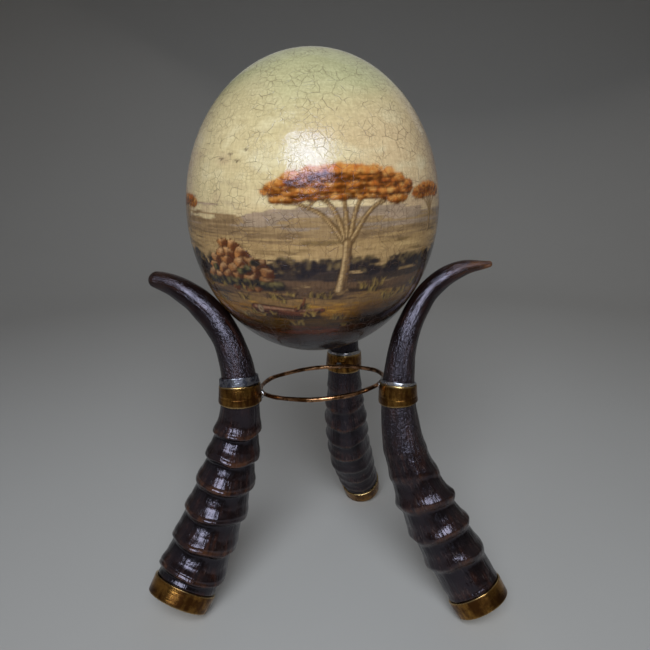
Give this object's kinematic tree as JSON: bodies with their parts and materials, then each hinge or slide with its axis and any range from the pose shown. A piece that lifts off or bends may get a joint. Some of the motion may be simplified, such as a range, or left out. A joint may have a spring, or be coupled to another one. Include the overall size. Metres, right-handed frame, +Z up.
{
  "type": "painted ostrich egg on an antelope horn stand",
  "caption": "Painted and varnished ostrich egg resting upright on a tripod of ridged antelope horns with brass foot caps and collars, tied by a wire ring.",
  "frame": {"origin": "on the surface that the feet stand on, under the middle of the whole object's box", "axes": "+Z up, along the egg's height; +X to the right and +Y to the back, seen from the front, with one horn at the back and one at each front side"},
  "size_m": [0.1904, 0.1578, 0.2892],
  "materials": {
    "painted_shell": "painted, with a crackled satin varnish",
    "horn": "polished dark horn",
    "brass": "aged, satin",
    "white_metal": "dull solder",
    "wire": "coppery, polished"
  },
  "bodies": {
    "root": {"egg": "painted_shell", "wire_ring": "wire", "horn_left": "horn", "horn_right": "horn", "horn_back": "horn", "foot_cap_left": "brass", "foot_cap_right": "brass", "foot_cap_back": "brass", "collar_left": "brass", "collar_right": "brass", "collar_back": "brass", "seat_left": "white_metal", "seat_right": "white_metal", "seat_back": "white_metal"}
  },
  "joints": []
}
